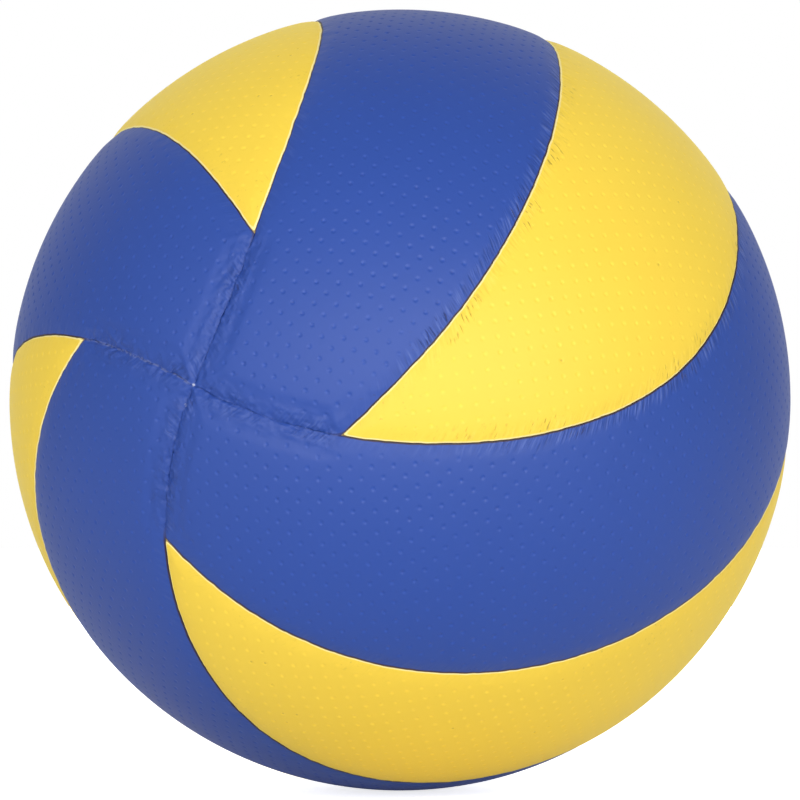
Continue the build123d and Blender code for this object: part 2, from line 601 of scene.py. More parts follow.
# %% Light tent and lamps
tent_strength = 0.43
backdrop_strength = 1.0
far_side = {"azimuth": camera_azimuth + 180, "elevation": -camera_elevation}

world = bpy.data.worlds.new("light_tent")
world.use_nodes = True
world.node_tree.nodes.clear()
tent = Graph(world.node_tree)
strength = tent_strength + (backdrop_strength - tent_strength) * camera_ray(tent)
glow = tent.node("ShaderNodeBackground", None, {"Color": grey(1.0), "Strength": strength})
tent.node("ShaderNodeOutputWorld", None, {"Surface": glow})
bpy.context.scene.world = world


def add_lamp(name, azimuth, elevation, distance, width, height, power):
    """A soft box turned to the ball: angles in degrees, sizes in millimetres, power in watts."""
    lamp_data = bpy.data.lights.new(name, "AREA")
    lamp_data.energy = power
    lamp_data.shape = "RECTANGLE"
    lamp_data.size = width * MM
    lamp_data.size_y = height * MM
    lamp = bpy.data.objects.new(name, lamp_data)
    lamp.visible_camera = False
    aim_at_ball(lamp, azimuth, elevation, distance)
    print(f"{name}: {power} W at {distance} mm")


add_lamp("soft_box", azimuth=37, elevation=4, distance=1600, width=2400, height=1200, power=41.0)
add_lamp("side_box", azimuth=-15, elevation=12, distance=1600, width=1000, height=1000, power=3.8)
add_lamp("back_box", azimuth=208, elevation=16, distance=1300, width=2400, height=2400, power=10.5)
add_lamp("rear_box", **far_side, distance=1600, width=700, height=700, power=12.0)

# %% [markdown]
# ## The pattern of one panel
#
# All eight panels have one shape. Four main seams run from pole to pole, drifting round the ball with
# a quick swing at the equator. A diagonal seam crosses from each main seam to the next and parts a
# blue panel from a yellow one. One panel is bounded by a short piece of one main seam, a diagonal and
# a long piece of the next main seam. The outline is kept as three sides, each with points along it,
# so that it can be moved inwards with clean corners.

# %% Courses of the seams
first_seam_longitude = 19.65
seam_drift = 31.85
seam_swing = 14.5
swing_span = 23.5
tip_colatitude = 21.8
diagonal_slope_middle = 1.262
diagonal_slope_end = 0.232
quarter_turn = 90.0
equator = 90.0


def direction(colatitude, longitude):
    """Unit vectors from the ball's centre: colatitude from the blue pole, longitude from +X to +Z."""
    polar = np.radians(colatitude)
    turn = np.radians(longitude)
    level = np.sin(polar)
    parts = np.broadcast_arrays(level * np.cos(turn), -np.cos(polar), level * np.sin(turn))
    return np.stack(parts, axis=-1)


def main_seam_longitude(colatitude):
    """Longitude of a main seam, counted from the place where it crosses the equator."""
    above = colatitude - equator
    return seam_drift * above / equator + seam_swing * np.tanh(above / swing_span)


diagonal_half = quarter_turn / 2 - main_seam_longitude(tip_colatitude)
diagonal_reach = equator - tip_colatitude


def main_seam(number, colatitude):
    longitude = first_seam_longitude + number * quarter_turn + main_seam_longitude(colatitude)
    return direction(colatitude, longitude)


def diagonal_seam(along):
    """Points of the first diagonal; along runs from -1 near the blue pole to 1 near the yellow one."""
    middle = diagonal_slope_middle * diagonal_half
    end = diagonal_slope_end * diagonal_half
    fifth = (end + 2 * middle - 3 * diagonal_reach) / 2
    third = diagonal_reach - middle - fifth
    rise = middle * along + third * along**3 + fifth * along**5
    return direction(equator + rise, first_seam_longitude + quarter_turn / 2 + diagonal_half * along)


print(f"a diagonal spans {2 * diagonal_half:.1f} degrees of longitude")

# %% One side of the outline
fine_points = 4000
mark_every = 12


def unit(vectors):
    return vectors / np.linalg.norm(vectors, axis=-1, keepdims=True)


def along_curve(at, run, values):
    return np.stack([np.interp(at, run, values[:, axis]) for axis in range(3)], axis=-1)


class Side:
    """One side of a panel's outline, walked with the panel on the left."""

    def __init__(self, points):
        self.points = points
        steps = np.linalg.norm(np.diff(points, axis=0), axis=1) * ball_radius
        self.run = np.concatenate([[0.0], np.cumsum(steps)])
        self.length = self.run[-1]
        self.heading = np.gradient(points, self.run, axis=0)
        self.marks = points[::mark_every]
        self.mark_headings = unit(self.heading[::mark_every])
        self.mark_runs = self.run[::mark_every]

    def inset(self, run, depth):
        """Unit vectors at a way along the side, moved into the panel by a depth."""
        up = unit(along_curve(run, self.run, self.points))
        ahead = unit(along_curve(run, self.run, self.heading))
        inward = np.cross(up, ahead)
        return unit(up + inward * np.tan(depth / ball_radius))

    def nearest(self, directions):
        """Distance to the side, and the way along it, measured square to the nearest mark's heading."""
        closest = (directions.astype(np.float32) @ self.marks.T.astype(np.float32)).argmax(axis=1)
        away = (directions - self.marks[closest]) * ball_radius
        ahead = (away * self.mark_headings[closest]).sum(axis=1)
        run = np.clip(self.mark_runs[closest] + ahead, 0.0, self.length)
        ahead = (run - self.mark_runs[closest])[:, None] * self.mark_headings[closest]
        return np.linalg.norm(away - ahead, axis=1), run


sides = [
    Side(main_seam(0, np.linspace(0, tip_colatitude, fine_points))),
    Side(diagonal_seam(np.linspace(-1, 1, fine_points))),
    Side(main_seam(1, np.linspace(2 * equator - tip_colatitude, 0, fine_points))),
]
print("sides in mm:", [round(side.length, 1) for side in sides])

# %% The whole outline
edge_step = 0.36


def corner_angle(before, after):
    turn = np.dot(unit(before.heading[-1]), unit(after.heading[0]))
    return math.pi - math.acos(turn)


corner_angles = [corner_angle(sides[number - 1], sides[number]) for number in range(3)]


def outline(depth, step=edge_step):
    """The panel's outline moved inwards by a depth, with mitred corners, as unit vectors."""
    loops = []
    for number, side in enumerate(sides):
        start = depth / math.tan(corner_angles[number] / 2)
        end = depth / math.tan(corner_angles[(number + 1) % 3] / 2)
        count = round(side.length / step)
        share = np.arange(count) / count
        loops.append(side.inset(start + (side.length - start - end) * share, depth))
    return np.concatenate(loops)


print("corners in degrees:", [round(math.degrees(angle), 1) for angle in corner_angles])

# %% [markdown]
# ## Laying the pattern flat
#
# The cover is cut from flat sheet whose dots stand in a square lattice. To know where the dots fall,
# the panel is rolled out along the great circle that fits it best, as a map maker would do: the way
# along that circle and the way across it become two flat measures in millimetres.

# %% The flat map
strip_axis_colatitude = 117.7
strip_axis_back = 21.4
strip_middle_ahead = 67.5
least_rise = 1e-12

strip_axis = direction(strip_axis_colatitude, first_seam_longitude - strip_axis_back)
strip_middle = direction(equator, first_seam_longitude + strip_middle_ahead)
strip_start = unit(strip_middle - strip_axis * np.dot(strip_middle, strip_axis))
strip_ahead = np.cross(strip_axis, strip_start)


def to_flat(directions):
    along = np.arctan2(directions @ strip_ahead, directions @ strip_start)
    across = np.arcsin(directions @ strip_axis)
    return np.stack([along, across], axis=-1) * ball_radius


def from_flat(flat):
    along, across = flat[:, 0:1] / ball_radius, flat[:, 1:2] / ball_radius
    level = np.cos(along) * strip_start + np.sin(along) * strip_ahead
    return np.cos(across) * level + np.sin(across) * strip_axis


def inside(flat, loop):
    """Which flat points lie within a closed loop, by counting the edges that a ray crosses."""
    x, y = flat[:, 0:1], flat[:, 1:2]
    ends = np.roll(loop, -1, axis=0)
    straddles = (loop[:, 1] > y) != (ends[:, 1] > y)
    slope = (ends[:, 0] - loop[:, 0]) / (ends[:, 1] - loop[:, 1] + least_rise)
    crossed = straddles & (x < loop[:, 0] + slope * (y - loop[:, 1]))
    return crossed.sum(axis=1) % 2 == 1


flat_outline = to_flat(outline(0.0))
print("flat pattern in mm:", np.round(np.ptp(flat_outline, axis=0), 1))

# %% [markdown]
# ## Points of a panel
#
# A mesh shows a form only where it has points. Beside the seams, rows of points follow the outline,
# close together at the rolled edge and wider further in. Each dot gets rings of points of its own.
# Between them the surface is smooth and needs few. Blender's own triangulation, which joins points
# into the least slender triangles, then makes one skin of them all.

# %% Distances on a panel
half_gap = 0.02
side_run_gap = 1000.0
corner_softness = 0.35


def seam_distances(directions):
    """Distance to the nearest edge, the way along that edge, and the distances to all three sides."""
    found = [side.nearest(directions) for side in sides]
    distances = np.stack([hit[0] for hit in found]) - half_gap
    ways = np.stack([hit[1] + side_run_gap * number for number, hit in enumerate(found)])
    nearest = distances.argmin(axis=0)
    way = np.take_along_axis(ways, nearest[None], axis=0)[0]
    return distances.min(axis=0), way, distances


def soften(distances):
    """Smooth least of several distances, which rounds the ridge where two rolled edges meet."""
    total = np.exp(-np.maximum(distances, 0) / corner_softness).sum(axis=0)
    return np.maximum(-corner_softness * np.log(total), 0)


def from_hole(directions, hole):
    """Distance from the middle of the valve's hole, over the ball."""
    return np.arccos(np.clip(directions @ hole, -1, 1)) * ball_radius


panel_middle = from_flat(np.zeros((1, 2)))
print(f"the strip's middle is {seam_distances(panel_middle)[0][0]:.1f} mm from a seam")

# %% Dots
dot_pitch = 3.77
dot_rings = ((0.28, 6), (0.5, 8), (0.75, 8), (1.05, 8))
dot_margin = 2.2
lattice_reach = 1.5
loop_every = 4
valve_hole_radius = 4.4


def ring(radius, count):
    """Points of a circle in the flat."""
    turn = 2 * np.pi * np.arange(count) / count
    return np.stack([np.cos(turn), np.sin(turn)], axis=1) * radius


def grid(xs, ys):
    """Flat points at every pair of two lists of values."""
    return np.stack(np.meshgrid(xs, ys), axis=-1).reshape(-1, 2)


def lattice(angle, shift):
    """Turn that takes lattice steps to flat millimetres, and the steps of flat points."""
    turn = math.radians(angle)
    matrix = np.array([[math.cos(turn), -math.sin(turn)], [math.sin(turn), math.cos(turn)]]) * dot_pitch
    return matrix, lambda flat: flat @ np.linalg.inv(matrix).T + shift


def dot_cells(flat_loop, matrix, shift, hole):
    """Lattice steps and flat middles of the dots that lie clear of a panel's edges and its hole."""
    reach = int(np.abs(flat_loop).max() / dot_pitch * lattice_reach)
    numbers = np.arange(-reach, reach + 1)
    cells = grid(numbers, numbers)
    middles = (cells - shift) @ matrix.T
    kept = inside(middles, flat_loop[::loop_every])
    kept[kept] = seam_distances(from_flat(middles[kept]))[0] > dot_margin
    if hole is not None:
        kept &= from_hole(from_flat(middles), hole) > valve_hole_radius + dot_margin
    return cells[kept], middles[kept]


dot_points = np.concatenate([np.zeros((1, 2))] + [ring(radius, count) for radius, count in dot_rings])
print("points in a dot:", len(dot_points))

# %% Rows along the seams
row_depths = (0.12, 0.3, 0.55, 0.85, 1.2, 1.6, 2.0, 2.4, 2.9, 3.4, 3.9, 4.5, 5.1, 5.8, 6.5, 7.3)
row_clearance = 1.3
row_tolerance = 0.93
gap_margin = 0.5
half_cell = 0.5


def seam_rows(cells, steps):
    """Rows of points that follow the outline, left out where they would run into a dot."""
    taken = {tuple(cell) for cell in cells}
    rows = []
    for depth in row_depths:
        row = outline(half_gap + depth)
        row = row[seam_distances(row)[0] > row_tolerance * depth]
        spots = steps(to_flat(row))
        nearest = np.round(spots)
        off = np.linalg.norm(spots - nearest, axis=1) * dot_pitch
        on_dot = [tuple(cell) in taken for cell in nearest.astype(int)]
        rows.append(row[(off > row_clearance) | ~np.array(on_dot)])
    return rows


def gap_points(cells, flat_loop, matrix, shift):
    """One flat point in the middle between four dots, further in than the rows."""
    gaps = (cells + half_cell - shift) @ matrix.T
    gaps = gaps[inside(gaps, flat_loop[::loop_every])]
    return gaps[seam_distances(from_flat(gaps))[0] > row_depths[-1] + gap_margin]


print("rows beside a seam:", len(row_depths))

# %% All points of a face
valve_hole_sides = 72
valve_rows = (0.12, 0.3, 0.6, 1.0, 1.5)
valve_margin = 0.4


def hole_loop(centre, radius):
    """Unit vectors of a circle on the ball, counter-clockwise as seen from outside."""
    across = unit(np.cross(centre, [0.0, 0.0, 1.0]))
    upward = np.cross(centre, across)
    flat = ring(math.tan(math.asin(radius / ball_radius)), valve_hole_sides)
    return unit(centre + flat[:, 0:1] * across + flat[:, 1:2] * upward)


def panel_points(angle, shift, hole):
    """Outline, hole and further points of a panel's face, the steps function, and how many dots it has."""
    loop = outline(half_gap)
    flat_loop = to_flat(loop)
    matrix, steps = lattice(angle, shift)
    cells, middles = dot_cells(flat_loop, matrix, shift, hole)
    dots = (middles[:, None] + dot_points[None]).reshape(-1, 2)
    spread = [from_flat(dots), from_flat(gap_points(cells, flat_loop, matrix, shift))]
    rows = seam_rows(cells, steps)
    rim = np.zeros((0, 3))
    if hole is not None:
        rim = hole_loop(hole, valve_hole_radius)
        rows += [hole_loop(hole, valve_hole_radius + depth) for depth in valve_rows]
        clear_radius = valve_hole_radius + valve_rows[-1] + valve_margin
        spread = [part[from_hole(part, hole) > clear_radius] for part in spread]
    return loop, rim, np.concatenate(spread + rows), steps, len(cells)


print("points of the outline:", len(outline(half_gap)))

# %% [markdown]
# ## From points to a closed panel
#
# The leather of a panel is a lid: its face, a hem that turns down at the edges to the carcass, and
# an inner face that lies on the foam. Loops of points that follow the outline at several depths are
# joined by strips of quads, and the two faces are triangulated in the flat. Where a panel has the
# valve's hole, the rim of the hole is an edge that triangles may not cross.

# %% Triangles and strips
keep_inside = 1
merge_distance = 1e-7


def triangles(loop, rim, extra):
    """Triangles over loop, rim and extra points, as indices into the three put together."""
    together = np.concatenate([loop, rim, extra])
    flat = [Vector(point) for point in to_flat(together)]
    rim_numbers = range(len(loop), len(loop) + len(rim))
    rim_edges = list(zip(rim_numbers, [*rim_numbers[1:], *rim_numbers[:1]]))
    outer = list(range(len(loop)))
    faces, origins = delaunay_2d_cdt(flat, rim_edges, [outer], keep_inside, merge_distance)[2:4]
    source = np.array([numbers[0] for numbers in origins])
    corners = source[np.array(faces)]
    on_rim = (corners >= len(loop)) & (corners < len(loop) + len(rim))
    return corners[~on_rim.all(axis=1)]


def strip(upper, lower, count):
    """Quads between two closed loops of points, given the numbers of their first points."""
    here = np.arange(count)
    after = (here + 1) % count
    return np.stack([upper + here, lower + here, lower + after, upper + after], axis=1)


print("a strip of three:", strip(0, 3, 3).tolist())

# %% New pieces
def add_attribute(mesh, name, values):
    values = np.asarray(values, dtype=np.float32)
    kind, field = ("FLOAT", "value") if values.ndim == 1 else ("FLOAT_VECTOR", "vector")
    mesh.attributes.new(name, kind, "POINT").data.foreach_set(field, values.ravel())


def new_piece(name, corners, faces):
    """Object with a new mesh; corners are in millimetres."""
    mesh = bpy.data.meshes.new(name)
    mesh.from_pydata((np.asarray(corners) * MM).tolist(), [], [list(map(int, face)) for face in faces])
    piece = bpy.data.objects.new(name, mesh)
    bpy.context.scene.collection.objects.link(piece)
    return piece


def inner_points(depth, step, hole):
    """Wide grid of points on the inside of a panel."""
    loop = to_flat(outline(depth))
    low, high = loop.min(axis=0), loop.max(axis=0)
    spots = grid(np.arange(low[0], high[0], step), np.arange(low[1], high[1], step))
    points = from_flat(spots[inside(spots, loop[::loop_every])])
    points = points[seam_distances(points)[0] > depth + step / 2]
    if hole is not None:
        points = points[from_hole(points, hole) > valve_hole_radius + step / 3]
    return points


def sharpen(mesh, count):
    """Marks the edges of the first loop of points as sharp, so that shading breaks there."""
    ends = np.empty(2 * len(mesh.edges), dtype=np.int32)
    mesh.edges.foreach_get("vertices", ends)
    ends = np.sort(ends.reshape(-1, 2), axis=1)
    step = ends[:, 1] - ends[:, 0]
    sharp = (ends[:, 1] < count) & ((step == 1) | (step == count - 1))
    mesh.attributes.new("sharp_edge", "BOOLEAN", "EDGE").data.foreach_set("value", sharp)


print("meshes before the panels:", len(bpy.data.meshes))

# %% A leather panel
hem_thickness = 1.2
hem_drop = 1.7
hem_upper = ball_radius - hem_drop
inner_step = 7.0
panel_run_gap = 4000.0
corner_fade = 1.5
lining_seam = 20.0


def mark_panel(mesh, face, order, steps, hole, hem_count, lining_count):
    """Stores what the relief and the finish read, for the face, the hem and the lining in turn."""
    way, distances = seam_distances(face)[1:]
    ranked = np.sort(distances, axis=0)
    clear = np.clip((ranked[1] - ranked[0]) / corner_fade, 0, 1)
    if hole is not None:
        to_hole = from_hole(face, hole) - valve_hole_radius
        clear[to_hole < ranked[0]] = 0
        distances = np.concatenate([distances, to_hole[None]])
    rest = np.zeros(hem_count + lining_count)
    rest_seam = [np.zeros(hem_count), np.full(lining_count, lining_seam)]
    sheet = np.concatenate([steps(to_flat(face)), np.zeros((len(face), 1))], axis=1)
    add_attribute(mesh, "seam", np.concatenate([soften(distances), *rest_seam]))
    add_attribute(mesh, "run", np.concatenate([way + order * panel_run_gap, rest]))
    add_attribute(mesh, "clear", np.concatenate([clear, rest]))
    add_attribute(mesh, "sheet", np.concatenate([sheet, np.zeros((len(rest), 3))]))
    add_attribute(mesh, "relief", np.concatenate([np.ones(len(face)), rest]))


def leather_panel(name, order, turn, angle, shift, hole):
    """A closed panel, turned to its place, with the attributes that its relief and finish read."""
    loop, rim, extra, steps, dots = panel_points(angle, shift, hole)
    hem = outline(half_gap + hem_thickness)
    inner = inner_points(half_gap + hem_thickness, inner_step, hole)
    face = np.concatenate([loop, rim, extra])
    lining = np.concatenate([hem, rim, inner])
    levels = [loop * hem_upper, loop * hem_bottom, hem * hem_bottom]
    parts = [face * ball_radius, *levels, lining * skin_inner]
    starts = np.cumsum([0] + [len(part) for part in parts])
    lining_start, count = starts[-2], len(loop)
    quads = [strip(upper, lower, count) for upper, lower in zip(starts[:-2], starts[1:-1])]
    if hole is not None:
        quads.append(strip(lining_start + count, count, len(rim)))
    lining_triangles = triangles(hem, rim, inner)[:, ::-1] + lining_start
    faces = [*triangles(loop, rim, extra), *lining_triangles, *np.concatenate(quads)]
    piece = new_piece(name, np.concatenate(parts) @ turn.T, faces)
    sharpen(piece.data, count)
    mark_panel(piece.data, face, order, steps, hole, lining_start - len(face), len(lining))
    print(f"{name}: {dots} dots, {len(faces)} faces")
    return piece


print(f"hem {hem_thickness} mm thick, from {hem_bottom:.2f} to {hem_upper:.2f} mm")

# %% [markdown]
# ## Relief of the leather
#
# On the real ball the panel's edges roll down into the seams, the dots are pressed into the film, and
# the leather puckers where it is pulled over the edge of the foam. All of that follows rules: how far
# a point is from the seam, where it lies in the lattice, how far along the seam it is. So one Geometry
# Nodes tree moulds every panel, with its sizes as inputs. It moves points towards the ball's centre,
# stores how deep each dot and crease is for the finish to read, and sets the material.

# %% Tree helpers
def shape_tree(name, inputs):
    """A Geometry Nodes tree with named inputs: its graph, and its input sockets by name."""
    tree = bpy.data.node_groups.new(name, "GeometryNodeTree")
    for label, kind in {"Geometry": "NodeSocketGeometry", **inputs}.items():
        tree.interface.new_socket(label, in_out="INPUT", socket_type=kind)
    tree.interface.new_socket("Geometry", in_out="OUTPUT", socket_type="NodeSocketGeometry")
    graph = Graph(tree)
    entry = graph.node("NodeGroupInput")
    return graph, {label: entry.other(label) for label in ("Geometry", *inputs)}


def end_tree(graph, geometry, material):
    """Last nodes of every tree: real faces in place of instances, and the material."""
    geometry = graph.node("GeometryNodeRealizeInstances", None, {0: geometry})
    geometry = graph.node("GeometryNodeSetShadeSmooth", None, {"Geometry": geometry})
    geometry = graph.node("GeometryNodeSetMaterial", None, {"Geometry": geometry, "Material": material})
    graph.node("NodeGroupOutput", None, {0: geometry})
    print(f"{graph.tree.name}: {len(graph.tree.nodes)} nodes")


def run_tree(piece, graph, values):
    """Runs a tree on a piece with these input values and keeps the result as a plain mesh."""
    modifier = piece.modifiers.new("shape", "NODES")
    modifier.node_group = graph.tree
    for item in graph.tree.interface.items_tree:
        if item.in_out == "INPUT" and item.name in values:
            modifier[item.identifier] = values[item.name]
    depsgraph = bpy.context.evaluated_depsgraph_get()
    evaluated = piece.evaluated_get(depsgraph)
    made = bpy.data.meshes.new_from_object(evaluated, preserve_all_data_layers=True, depsgraph=depsgraph)
    piece.modifiers.clear()
    piece.data = made
    made.name = piece.name


print("shape trees so far:", len(bpy.data.node_groups))

# %% Inputs of the relief tree
relief_sizes = {
    "Roll Width": 4.5,
    "Roll Depth": 0.5,
    "Pinch Depth": 0.45,
    "Lip Width": 0.5,
    "Lip Depth": 0.0,
    "Crown Width": 10.0,
    "Crown Depth": 0.2,
    "Wander": 0.65,
    "Dot Pitch": dot_pitch,
    "Dot Radius": 0.65,
    "Dot Depth": 0.18,
    "Pucker Spacing": 2.6,
    "Pucker Depth": 0.16,
    "Fold Depth": 0.45,
    "Lump Depth": 1.35,
    "Hollow Depth": 0.5,
}
colour_sizes = {"blue": {}, "yellow": {"Lip Depth": 0.35, "Dot Depth": 0.11}}
relief_inputs = {label: "NodeSocketFloat" for label in relief_sizes}
relief, size = shape_tree("leather_relief", {**relief_inputs, "Leather": "NodeSocketMaterial"})


def stored(name, kind="FLOAT"):
    return relief.node("GeometryNodeInputNamedAttribute", {"data_type": kind}, {"Name": name})


print("sizes of the relief:", len(relief_sizes))

# %% Rolled edge
kin_edge = (43.0, 36.0)
roll_power = 1.8

seam = stored("seam")
run = stored("run")
place = relief.node("GeometryNodeInputPosition")
outward = relief.vector("NORMALIZE", place)
height = abs(relief.part(outward, "Y"))
from_pole = height.math("ARCCOSINE", height) * ball_radius
kin = relief.smooth(from_pole, *kin_edge)

roll_edge = relief.clamp(1 - seam / size["Roll Width"])
roll = (size["Roll Depth"] + size["Pinch Depth"] * kin) * roll_edge ** roll_power
lip_edge = relief.clamp(1 - seam / size["Lip Width"])
lip_round = 1 - (1 - lip_edge * lip_edge) ** 0.5
lip = size["Lip Depth"] * (1 - kin) * lip_round
crown = size["Crown Depth"] * relief.smooth(seam, size["Crown Width"], 0.0)
edge_depth = roll + lip + crown

print("nodes after the rolled edge:", len(relief.tree.nodes))

# %% Pressed dots
dot_seam = (1.8, 4.5)
pit_rim, pit_floor = 1.2, 0.2
press_scale = 0.37
press_least, press_range = 0.4, 1.2
cell_middle = (half_cell, half_cell, 0.0)

in_lattice = relief.vector("ADD", stored("sheet", "FLOAT_VECTOR"), cell_middle)
in_cell = relief.vector("FRACTION", in_lattice)
from_dot = relief.vector("DISTANCE", in_cell, cell_middle, "Value") * size["Dot Pitch"]
pit = relief.smooth(from_dot, pit_rim * size["Dot Radius"], pit_floor * size["Dot Radius"])
dot = pit * relief.smooth(seam, *dot_seam)
press = relief.noise(relief.vector("FLOOR", in_lattice), press_scale, detail=1.0)
dot_depth = size["Dot Depth"] * dot * (press_least + press_range * press)

print("nodes after the dots:", len(relief.tree.nodes))

# %% Puckers, folds, lumps and hollows
pucker_length = 9.0
pucker_reach = (9.0, 1.0)
fold_length = 6.0
fold_spacing = 1.3
fold_width = 0.22
fold_reach = (7.0, 2.0)
gather_least = 0.5
lump_size = 1.7 * MM
lump_reach = (4.5, 0.5)
hollow_seam = 4.5
hollow_width = 2.5
hollow_length = 9.0
hollow_row = 4.0

along = leaning_run(relief, seam, run)
wave = relief.wave(relief.join(along / size["Pucker Spacing"], seam / pucker_length, 0.0))
pucker = size["Pucker Depth"] * wave * relief.smooth(seam, *pucker_reach) * stored("clear")

crossing = relief.wave(relief.join(run / fold_length, seam / fold_spacing, 0.0))
gather = gather_least + (1 - gather_least) * stretches(relief, run, "folds")
fold = relief.clamp(1 - abs(crossing) / fold_width)
crease = kin * gather * fold * relief.smooth(seam, *fold_reach) * stored("clear")
lump = kin * gather * relief.wave(place, 1 / lump_size) * relief.smooth(seam, *lump_reach)
in_hollow = relief.smooth(abs(seam - hollow_seam), hollow_width, 0.0)
hollow = kin * in_hollow * run_noise(relief, run, hollow_length, hollow_row)
fold_depth = pucker + size["Fold Depth"] * crease
fold_depth = fold_depth + size["Lump Depth"] * lump + size["Hollow Depth"] * hollow

print("nodes after the folds:", len(relief.tree.nodes))

# %% Move the points
sway_size = 4 * MM
sway_reach = 5.0
sway_plain, sway_pole = 0.75, 1.1
noise_middle = (0.5, 0.5, 0.5)

depth = (edge_depth + dot_depth + fold_depth) * stored("relief") * -MM
sway = relief.noise(place, 1 / sway_size).other("Color")
sway = relief.vector("SUBTRACT", sway, noise_middle)
sway_amount = size["Wander"] * MM * relief.smooth(seam, sway_reach, 0.0) * (sway_plain + sway_pole * kin)
offset = relief.vector("ADD", relief.stretch(outward, depth), relief.stretch(sway, sway_amount))
moulded = relief.node("GeometryNodeSetPosition", None, {"Geometry": size["Geometry"], "Offset": offset})
for label, value in {"dot": dot, "press": press, "crease": crease, "kin": kin}.items():
    mark = {"Geometry": moulded, "Name": label, "Value": value}
    moulded = relief.node("GeometryNodeStoreNamedAttribute", None, mark)
end_tree(relief, moulded, size["Leather"])

# %% [markdown]
# ## The eight panels
#
# A blue panel is the first one turned about the axis through the poles by quarter turns. A yellow
# panel is a blue one turned end over end about an axis across the ball. The dots lie at a slightly
# different angle on each, as they do when every panel is cut from the sheet by itself.

# %% Places of the panels
panel_lattices = {
    "blue_panel_1": 41.0,
    "blue_panel_2": 39.0,
    "blue_panel_3": 43.0,
    "blue_panel_4": 38.0,
    "yellow_panel_1": 50.0,
    "yellow_panel_2": 40.0,
    "yellow_panel_3": 44.0,
    "yellow_panel_4": 34.0,
}
valve_panel = "blue_panel_2"
valve_direction = np.array([-1.0, 0.0, 0.0])


def pole_turn(angle):
    """Rotation that adds an angle, in degrees, to every longitude."""
    turn = math.radians(angle)
    return np.array([[math.cos(turn), 0, -math.sin(turn)], [0, 1, 0], [math.sin(turn), 0, math.cos(turn)]])


def half_turn(axis):
    return 2 * np.outer(axis, axis) - np.eye(3)


def panel_place(node):
    """Colour and number of a panel, the turn that takes the first panel to it, and its hole, if any."""
    colour, number = node.split("_")[0], int(node[-1])
    turn = pole_turn((number - 1) * quarter_turn)
    if colour == "yellow":
        turn = half_turn(direction(equator, first_seam_longitude + (number - 0.5) * quarter_turn)) @ turn
    hole = turn.T @ valve_direction if node == valve_panel else None
    return colour, number, turn, hole


print("panels:", len(panel_lattices), "with the valve in", valve_panel)

# %% Make the panels
lattice_seed = 7

shifts = np.random.default_rng(lattice_seed)
for order, (node, angle) in enumerate(panel_lattices.items()):
    colour, number, turn, hole = panel_place(node)
    panel = leather_panel(f"{colour}_leather_{number}", order, turn, angle, shifts.random(2), hole)
    run_tree(panel, relief, {**relief_sizes, **colour_sizes[colour], "Leather": leathers[colour]})
    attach(panel, "ball")
    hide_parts(node)

# %% [markdown]
# ## Foam pads
#
# Behind each panel lies a pad of white open-cell foam, which makes the ball soft to hit. Each pad
# follows its panel's outline a little further in, inside the leather's hem, and its edges are skived
# round. Loops of the outline, moved in and up along a quarter circle, give the rounded edge.

# %% Foam finish
cell_size, cell_depth = 0.5 * MM, 0.08 * MM
cell_edge = (0.3, 0.05)
stain_size = 18 * MM
foam_colours = (screen_colour(226, 222, 208), screen_colour(242, 240, 232))
foam_pore = screen_colour(176, 170, 152)
foam_dull, foam_dull_stain = 0.88, 0.08


def foam_fill(graph):
    place = object_place(graph)
    cells = {"Vector": place, "Scale": 1 / cell_size}
    cell = graph.node("ShaderNodeTexVoronoi", None, cells, "Distance")
    stain = graph.noise(place, 1 / stain_size, detail=3)
    tone = graph.mix(stain, *foam_colours)
    tone = graph.mix(graph.smooth(cell, *cell_edge), tone, foam_pore)
    bump = graph.node("ShaderNodeBump", None, {"Distance": cell_depth, "Height": cell})
    roughness = foam_dull + foam_dull_stain * stain
    return {"Base Color": tone, "Roughness": roughness, "Specular IOR Level": 0.2, "Normal": bump}


backing_foam = make_material("backing_foam", foam_fill)

# %% One pad
pad_inset = 1.5
pad_rounding = 0.6
pad_step = 1.6
pad_grid = 6.0
arc_points = 4


def finish_mesh(piece, material):
    """Smooth shading and one material for a plain mesh."""
    piece.data.materials.append(material)
    piece.data.polygons.foreach_set("use_smooth", [True] * len(piece.data.polygons))


def foam_pad(name, turn, hole):
    """A closed pad between the carcass and the leather, with rounded edges."""
    angles = np.linspace(0, math.pi / 2, arc_points)
    rise = [(pad_rounding * (1 - math.sin(a)), pad_rounding * (1 - math.cos(a))) for a in angles]
    levels = [(pad_inset + move, foam_inner + lift) for move, lift in rise]
    levels += [(pad_inset + move, foam_outer - lift) for move, lift in rise[::-1]]
    loops = [outline(inset, pad_step) * radius for inset, radius in levels]
    count = len(loops[0])
    rim = np.zeros((0, 3)) if hole is None else hole_loop(hole, valve_hole_radius)
    inner = inner_points(pad_inset + pad_rounding, pad_grid, hole)
    face = triangles(outline(pad_inset + pad_rounding, pad_step), rim, inner)
    extra = np.concatenate([rim, inner])
    starts = count * np.arange(len(loops))
    lower_start = starts[-1] + count
    upper_start = lower_start + len(extra)
    lower = np.where(face < count, face, face - count + lower_start)
    upper = np.where(face < count, face + starts[-1], face - count + upper_start)
    quads = [strip(above, below, count) for above, below in zip(starts[1:], starts[:-1])]
    if hole is not None:
        quads.append(strip(lower_start, upper_start, len(rim)))
    faces = [*lower[:, ::-1], *upper, *np.concatenate(quads)]
    corners = np.concatenate([*loops, extra * foam_inner, extra * foam_outer])
    piece = new_piece(name, corners @ turn.T, faces)
    finish_mesh(piece, backing_foam)
    return piece


print(f"a pad is {foam_outer - foam_inner:.2f} mm thick")

# %% Make the pads
for node in panel_lattices:
    colour, number, turn, hole = panel_place(node)
    pad = foam_pad(f"{colour}_pad_{number}", turn, hole)
    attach(pad, "ball")
    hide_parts(f"{colour}_panel_foam_{number}")

print("a pad has", len(pad.data.polygons), "faces")

